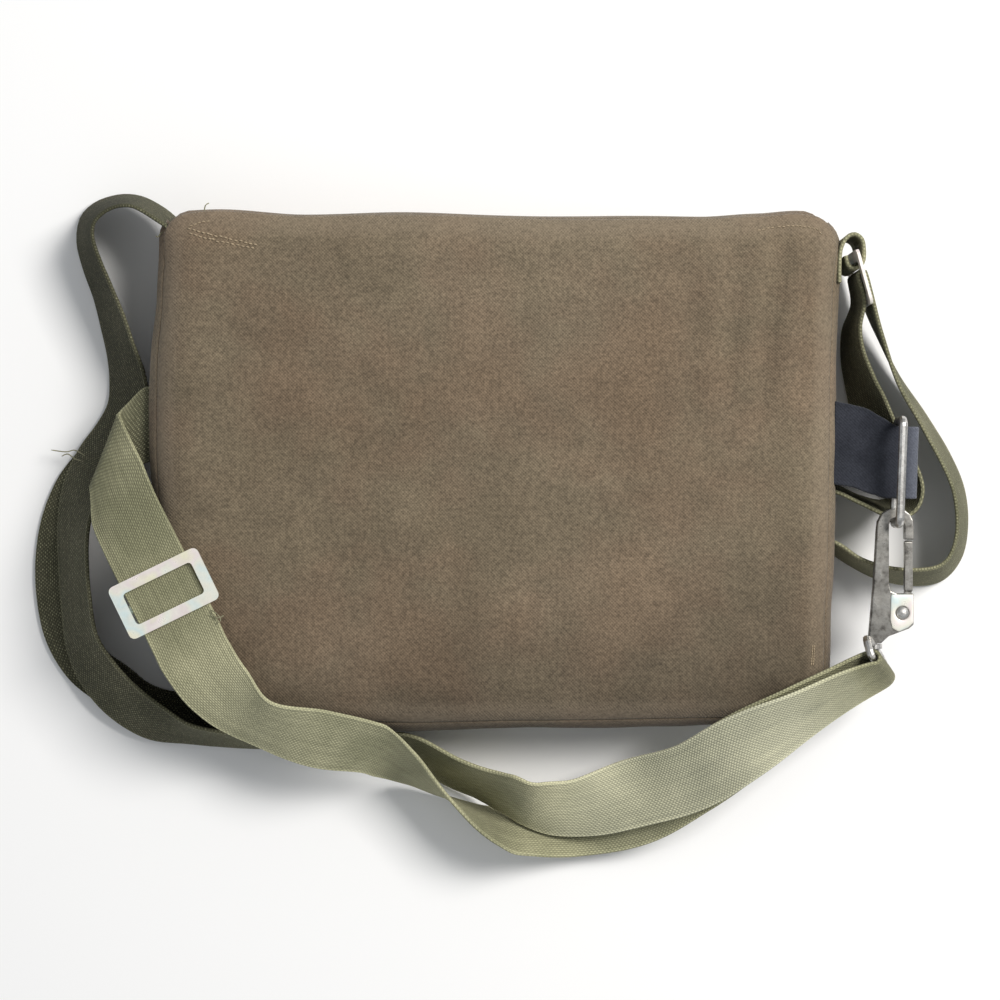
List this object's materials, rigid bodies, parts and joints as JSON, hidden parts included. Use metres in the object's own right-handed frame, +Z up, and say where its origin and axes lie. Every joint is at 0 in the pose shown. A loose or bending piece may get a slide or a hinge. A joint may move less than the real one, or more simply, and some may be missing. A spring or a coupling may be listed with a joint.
{
  "type": "messenger bag",
  "caption": "Canvas messenger bag lying on its front, with an adjustable webbing shoulder strap, a snap hook on a ring and a flap that opens under it.",
  "frame": {"origin": "on the flap's outer face, on which the bag rests, midway along the bag", "axes": "+X along the bag towards the snap hook, +Y towards the top edge with the mouth, +Z up through the bag's depth towards the back panel"},
  "size_m": [0.5071, 0.3584, 0.0754],
  "materials": {
    "brown_canvas": "washed brown cotton canvas, matt, slightly mottled",
    "olive_webbing": "olive cotton webbing, basket weave, dusty",
    "navy_felt": "dark navy woven tab",
    "pale_zinc": "pale zinc plate with a faint rainbow sheen",
    "worn_steel": "plated steel, worn on the edges"
  },
  "bodies": {
    "root": {"back_panel": "brown_canvas", "gusset": "brown_canvas", "front_panel": "brown_canvas", "snap_stud_left": "worn_steel", "snap_post_left": "worn_steel", "snap_stud_right": "worn_steel", "snap_post_right": "worn_steel", "strap_return": "olive_webbing", "strap_front": "olive_webbing", "strap_tail": "olive_webbing", "side_strap": "olive_webbing", "right_loop": "olive_webbing", "tab": "navy_felt", "right_slide": "pale_zinc", "swivel_eye": "worn_steel"},
    "flap": {"flap": "brown_canvas", "snap_cap_left": "worn_steel", "snap_socket_left": "worn_steel", "snap_cap_right": "worn_steel", "snap_socket_right": "worn_steel"},
    "ring": {"ring": "worn_steel"},
    "hook": {"hook_body": "worn_steel", "gate_pin": "worn_steel", "gate_spring": "worn_steel", "swivel_pin": "worn_steel"},
    "gate": {"hook_gate": "worn_steel"},
    "slide": {"left_slide": "pale_zinc"}
  },
  "joints": [
    {"name": "flap_hinge", "type": "hinge", "parent": "root", "child": "flap", "pos_m": [0, 0.129, 0.0497], "axis": [1, 0, 0], "range_deg": [0, 160]},
    {"name": "ring_swing", "type": "hinge", "parent": "root", "child": "ring", "pos_m": [0.2106, -0.0026, 0.041], "axis": [0.0349, 0.9994, 0], "range_deg": [-3, 3]},
    {"name": "hook_swivel", "type": "hinge", "parent": "root", "child": "hook", "pos_m": [0.198, -0.094, 0.0475], "axis": [0, 1, 0], "range_deg": [-3, 3]},
    {"name": "gate_pivot", "type": "hinge", "parent": "hook", "child": "gate", "pos_m": [0.2126, -0.0763, 0.0475], "axis": [0, 0, 1], "range_deg": [0, 10], "stiffness_Nm_per_rad": 0.02, "springref_deg": -11.46},
    {"name": "slide_travel", "type": "slide", "parent": "root", "child": "slide", "axis": [0.4384, -0.8988, 0], "range_m": [-0.012, 0.012]}
  ]
}
